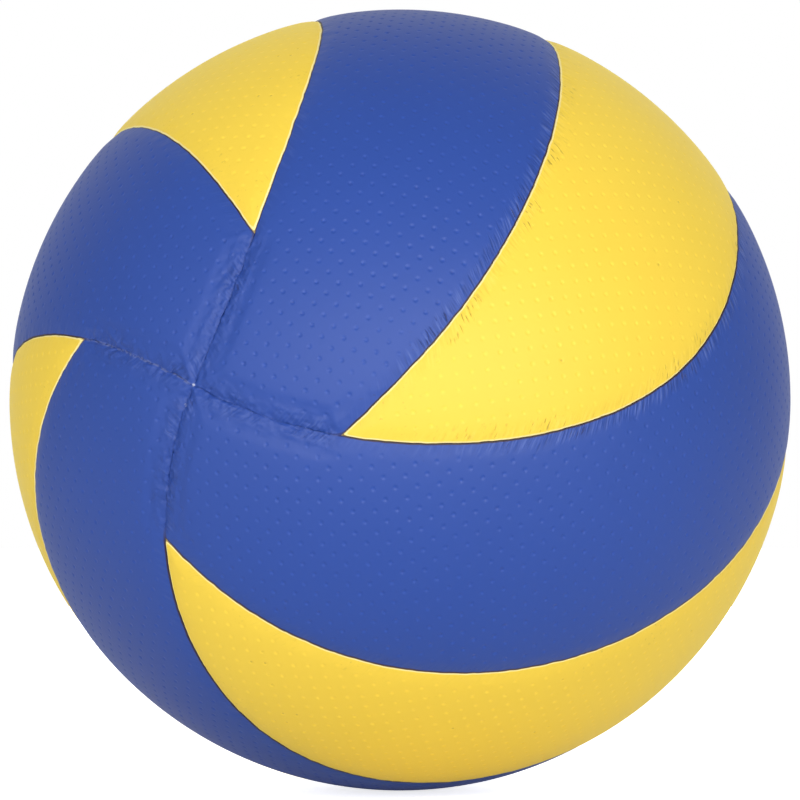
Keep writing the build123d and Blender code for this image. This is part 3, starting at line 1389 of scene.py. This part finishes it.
# %% [markdown]
# ## Turned pieces
#
# The valve and the layer under the winding are round about one axis, the valve's. A lathe function
# turns a closed profile about that axis. Profile points are (way out along the axis from the ball's
# centre, radius), and a corner is rounded by a short curve, because moulded rubber has no sharp edges.

# %% Lathe
corner_steps = 4
corner_share = 0.45
weld_distance = 0.001 * MM


def rounded(points, radius):
    """A closed profile with its corners rounded, except those on the axis."""
    points = np.array(points)
    made = []
    for before, corner, after in zip(np.roll(points, 1, axis=0), points, np.roll(points, -1, axis=0)):
        if corner[1] == 0:
            made.append(corner)
            continue
        start, end = [
            corner + (point - corner) * min(corner_share, radius / np.linalg.norm(point - corner))
            for point in (before, after)
        ]
        for share in np.linspace(0, 1, corner_steps):
            made.append((1 - share) ** 2 * start + 2 * share * (1 - share) * corner + share**2 * end)
    return made


def lathe(name, profile, sides):
    """A closed piece turned about the valve's axis, which points along -X."""
    profile = np.array(profile)
    turn = 2 * np.pi * np.arange(sides)[:, None] / sides
    along = np.broadcast_to(-profile[:, 0], (sides, len(profile)))
    corners = np.stack([along, profile[:, 1] * np.cos(turn), profile[:, 1] * np.sin(turn)], axis=-1)
    numbers = np.arange(sides * len(profile)).reshape(sides, len(profile))
    beside = np.roll(numbers, -1, axis=0)
    faces = np.stack([numbers, np.roll(numbers, -1, axis=1), np.roll(beside, -1, axis=1), beside], axis=-1)
    piece = new_piece(name, corners.reshape(-1, 3), faces.reshape(-1, 4))
    clean = bmesh.new()
    clean.from_mesh(piece.data)
    bmesh.ops.remove_doubles(clean, verts=clean.verts, dist=weld_distance)
    bmesh.ops.recalc_face_normals(clean, faces=clean.faces)
    clean.to_mesh(piece.data)
    clean.free()
    print(f"{name}: {len(piece.data.polygons)} faces")
    return piece


print("points of a rounded corner:", corner_steps)

# %% [markdown]
# ## Rubber finishes
#
# Five pieces are rubber. They share four finishes, each with its own colour, a mottle from mixing, a
# dusting of talc or bloom on some patches and a fine moulded grain. The carcass, the bladder and the
# patch on it keep their solids, which have the right shape, and only get a finish.

# %% Rubber
chalk = screen_colour(170, 168, 162)
mottle_size = 9 * MM
mottle_levels = (0.85, 1.15)
bloom_size = 3 * MM
bloom_edge = (0.45, 0.7)
pebble_size, pebble_depth = 0.3 * MM, 0.02 * MM
bloom_dull, mottle_dull = 0.2, 0.06


def rubber(colour, bloom_share, roughness):
    """Fill for a rubber finish."""

    def fill(graph):
        place = object_place(graph)
        mottle = graph.noise(place, 1 / mottle_size, detail=3)
        patches = graph.noise(place, 1 / bloom_size, detail=4, roughness=0.6)
        bloom = graph.smooth(patches, *bloom_edge) * bloom_share
        tone = graph.mix(mottle, *[scaled(colour, level) for level in mottle_levels])
        pebble = graph.noise(place, 1 / pebble_size)
        bump = graph.node("ShaderNodeBump", None, {"Distance": pebble_depth, "Height": pebble})
        return {
            "Base Color": graph.mix(bloom, tone, chalk),
            "Roughness": roughness + bloom_dull * bloom + mottle_dull * mottle,
            "Specular IOR Level": 0.4,
            "Normal": bump,
        }

    return fill


rubber_looks = {
    "valve_rubber": {"colour": screen_colour(38, 38, 42), "bloom_share": 0.12, "roughness": 0.5},
    "plug_rubber": {"colour": screen_colour(58, 58, 62), "bloom_share": 0.08, "roughness": 0.42},
    "carcass_rubber": {"colour": screen_colour(176, 142, 96), "bloom_share": 0.25, "roughness": 0.6},
    "bladder_rubber": {"colour": screen_colour(32, 32, 34), "bloom_share": 0.3, "roughness": 0.55},
}
rubbers = {name: make_material(name, rubber(**look)) for name, look in rubber_looks.items()}
inner_finishes = {"carcass": "carcass_rubber", "bladder": "bladder_rubber", "valve_patch": "bladder_rubber"}
for node, finish in inner_finishes.items():
    for material_slot in frame["nodes"][node].material_slots:
        material_slot.material = rubbers[finish]
print("rubber on", list(inner_finishes))

# %% [markdown]
# ## Valve
#
# The housing is one moulding: a flange bonded inside the bladder, a boss that grips the plug, and a
# neck that comes up through every layer to just under the leather. The plug slides into it from
# outside. Its head fills a seat in the neck, a funnel leads the needle in, and below the needle's
# hole the rubber closes by itself.

# %% Sizes of the valve
housing_low, housing_high = [[part / MM for part in corner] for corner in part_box("valve_housing")]
plug_low, plug_high = [[part / MM for part in corner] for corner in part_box("valve_plug")]
neck_top, boss_bottom = -housing_low[0], -housing_high[0]
flange_radius = housing_high[1]
plug_top, plug_bottom = -plug_low[0], -plug_high[0]
head_radius = plug_high[1]
flange_outer, flange_thickness = 97.0, 1.4
boss_radius = 5.2
neck_radius = 4.2
plug_clearance = 0.1
shank_radius, tip_radius = 2.0, 1.8
head_thickness = 1.4
needle_radius = mounts["needle_port"]["dims"]["r_mm"]
needle_depth = mounts["needle_port"]["dims"]["length_mm"]
funnel_radius, funnel_depth = 1.6, 0.7
head_seat = plug_top - head_thickness
bore_radius = shank_radius + plug_clearance
seat_radius = head_radius + plug_clearance
needle_bottom = plug_top - needle_depth

print(f"plug {plug_top - plug_bottom:.1f} mm long, needle hole {2 * needle_radius:.1f} mm across")

# %% Make the valve
lathe_sides = 64
edge_rounding = 0.35
bowl_points = 6


def bowl(radius, start, end):
    """Profile of a round face about the ball's centre, between two distances from the valve's axis."""
    return [(math.sqrt(radius**2 - off**2), off) for off in np.linspace(start, end, bowl_points)]


housing_profile = [
    (boss_bottom, bore_radius),
    (boss_bottom, boss_radius),
    *bowl(flange_outer - flange_thickness, boss_radius, flange_radius),
    *bowl(flange_outer, flange_radius, neck_radius),
    (neck_top, neck_radius),
    (neck_top, seat_radius),
    (head_seat - plug_clearance, seat_radius),
    (head_seat - plug_clearance, bore_radius),
]
plug_profile = [
    (plug_bottom, 0.0),
    (plug_bottom, tip_radius),
    (head_seat, shank_radius),
    (head_seat, head_radius),
    (plug_top, head_radius),
    (plug_top, funnel_radius),
    (plug_top - funnel_depth, needle_radius),
    (needle_bottom, needle_radius),
    (needle_bottom - needle_radius / 2, 0.0),
]
valve_pieces = {
    "valve_housing": ("valve_body", housing_profile, "ball", "valve_rubber"),
    "valve_plug": ("valve_stopper", plug_profile, "plug", "plug_rubber"),
}
for node, (name, profile, body, finish) in valve_pieces.items():
    piece = lathe(name, rounded(profile, edge_rounding), lathe_sides)
    finish_mesh(piece, rubbers[finish])
    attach(piece, body)
    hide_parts(node)

# %% [markdown]
# ## Thread winding
#
# Nylon thread wound over the bladder in every direction keeps the ball round. A real ball has
# thousands of turns in a coat of latex. Here the coat is a thin turned shell, and one Geometry Nodes
# tree lays turns of thread over it: a ring of thread is set on many points, each turned at random by
# a fixed seed, and rings that would cross the valve's hole are left out.

# %% Thread finish
latex_size = 12 * MM
latex_colours = (screen_colour(214, 212, 204), screen_colour(236, 236, 232))
fibre_size, fibre_depth = 0.25 * MM, 0.02 * MM
fibre_edge = (0.6, 0.75)
fibre_colour = screen_colour(186, 182, 170)
thread_dull, thread_dull_latex = 0.5, 0.15


def thread_fill(graph):
    place = object_place(graph)
    latex = graph.noise(place, 1 / latex_size, detail=3)
    fibre = graph.noise(place, 1 / fibre_size)
    tone = graph.mix(latex, *latex_colours)
    tone = graph.mix(graph.smooth(fibre, *fibre_edge), tone, fibre_colour)
    bump = graph.node("ShaderNodeBump", None, {"Distance": fibre_depth, "Height": fibre})
    return {"Base Color": tone, "Roughness": thread_dull + thread_dull_latex * latex, "Normal": bump}


winding_thread = make_material("winding_thread", thread_fill)

# %% Coat of latex
coat_thickness = 0.25
coat_points = 48
ring_segments = 96

coat_outer = winding_inner + coat_thickness
hole_angle = math.asin(valve_hole_radius / winding_outer)
coat_angles = np.linspace(hole_angle, math.pi, coat_points)[:-1]


def coat_arc(radius):
    """Profile of one face of the coat, from the valve's hole almost to the far end of the axis."""
    return [(radius * math.cos(angle), radius * math.sin(angle)) for angle in coat_angles]


far_end = [(-coat_outer, 0.0), (-winding_inner, 0.0)]
coat_profile = [*coat_arc(coat_outer), *far_end, *coat_arc(winding_inner)[::-1]]
winding = lathe("thread_turns", coat_profile, ring_segments)

# %% Tree of the turns
thread_radius = 0.11
thread_sides = 4
turn_spread = 0.0006
turn_radius = (coat_outer + winding_outer) / 2

turn_inputs = {
    "Turns": "NodeSocketInt",
    "Seed": "NodeSocketInt",
    "Valve Clearance": "NodeSocketFloat",
    "Thread": "NodeSocketMaterial",
}
winder, wind = shape_tree("thread_turns", turn_inputs)


def circle(radius, points):
    sockets = {"Resolution": points, "Radius": radius * MM}
    return winder.node("GeometryNodeCurvePrimitiveCircle", None, sockets)


path = circle(turn_radius, ring_segments)
section = circle(thread_radius, thread_sides)
ring_mesh = winder.node("GeometryNodeCurveToMesh", None, {"Curve": path, "Profile Curve": section})
spots = winder.node("GeometryNodePoints", None, {"Count": wind["Turns"]})
# Random Value has a vector's limits in sockets 0 and 1, a number's in 2 and 3, and the number at output 1.
tilt = {0: (-1.0, -1.0, -1.0), 1: (1.0, 1.0, 1.0), "Seed": wind["Seed"]}
axis = winder.node("FunctionNodeRandomValue", {"data_type": "FLOAT_VECTOR"}, tilt)
axis = winder.vector("NORMALIZE", axis)
across = abs(winder.part(axis, "X"))
kept = across.math("GREATER_THAN", across, wind["Valve Clearance"])
spin = winder.node("FunctionNodeAlignRotationToVector", {"axis": "Z"}, {"Vector": axis})
spread = {2: 1 - turn_spread, 3: 1 + turn_spread, "Seed": wind["Seed"]}
scale = winder.node("FunctionNodeRandomValue", {"data_type": "FLOAT"}, spread, 1)
rings = {"Points": spots, "Selection": kept, "Instance": ring_mesh, "Rotation": spin, "Scale": scale}
turns_made = winder.node("GeometryNodeInstanceOnPoints", None, rings)
joined = winder.node("GeometryNodeJoinGeometry", None, {0: turns_made})
winder.tree.links.new(wind["Geometry"].link, joined.link.node.inputs[0])
end_tree(winder, joined, wind["Thread"])

# %% Wind the thread
thread_turns = 150
winding_seed = 11
turn_margin = 2.0
wind_values = {
    "Turns": thread_turns,
    "Seed": winding_seed,
    "Valve Clearance": (valve_hole_radius + turn_margin) / winding_outer,
    "Thread": winding_thread,
}
run_tree(winding, winder, wind_values)
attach(winding, "ball")
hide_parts("thread_winding")
print("the winding has", len(winding.data.polygons), "faces")

# %% [markdown]
# ## Sizes at the end
# The dressed ball has to keep the size of its solids.
